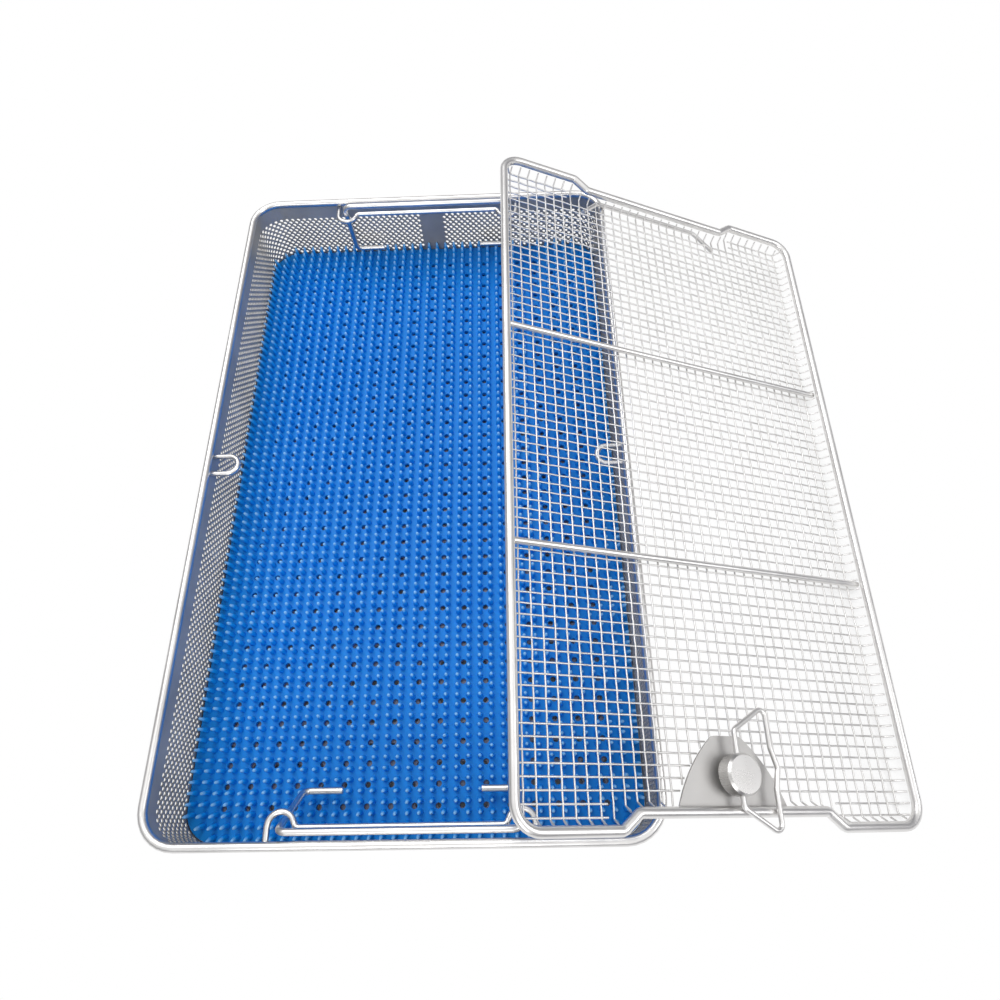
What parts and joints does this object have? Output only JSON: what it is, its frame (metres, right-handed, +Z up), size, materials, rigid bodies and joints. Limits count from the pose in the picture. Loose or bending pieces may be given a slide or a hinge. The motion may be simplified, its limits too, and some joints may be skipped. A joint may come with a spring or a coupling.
{
  "type": "autoclave basket",
  "caption": "Perforated steel instrument basket with wire rim, drop handles and a silicone finger mat, its latching wire-mesh lid leaning over one long side.",
  "frame": {"origin": "middle of the basket's underside, on the surface the basket stands on", "axes": "+Z up, +Y along the basket towards the end with the wall seam, +X towards the long side the lid leans over"},
  "size_m": [0.3918, 0.418, 0.0986],
  "materials": {
    "sheet": "satin perforated sheet",
    "wire": "electropolished round wire",
    "mesh": "electropolished woven wire",
    "mat": "matt silicone, faintly translucent",
    "latch": "fine turned and satin"
  },
  "bodies": {
    "basket": {"side_wall": "sheet", "floor_sheet": "sheet", "rim_wire": "wire", "near_handle_guide": "wire", "far_handle_guide": "wire", "left_side_loop": "wire", "right_side_loop": "wire", "finger_mat": "mat", "lid_frame": "wire", "lid_crossbar_far": "wire", "lid_crossbar_near": "wire", "lid_long_wires": "mesh", "lid_cross_wires": "mesh", "lid_hook_wire": "wire", "latch_plate": "latch"},
    "near_handle": {"near_handle": "wire"},
    "far_handle": {"far_handle": "wire"},
    "latch_knob": {"latch_knob": "latch", "latch_tongue": "latch"},
    "latch_bail": {"latch_bail": "wire"}
  },
  "joints": [
    {"name": "near_handle_lift", "type": "slide", "parent": "basket", "child": "near_handle", "axis": [0, -0.4571, 0.8894], "range_m": [0, 0.0326]},
    {"name": "far_handle_lift", "type": "slide", "parent": "basket", "child": "far_handle", "axis": [0, -0.0941, 0.9956], "range_m": [0, 0.0291]},
    {"name": "latch_turn", "type": "hinge", "parent": "basket", "child": "latch_knob", "pos_m": [0.16012, -0.17934, 0.0501], "axis": [-0.3843, 0.0132, -0.9231], "range_deg": [0, 60]},
    {"name": "bail_fold", "type": "hinge", "parent": "latch_knob", "child": "latch_bail", "pos_m": [0.16012, -0.17934, 0.0501], "axis": [-0.0051, -0.9999, -0.0122], "range_deg": [0, 165]}
  ]
}
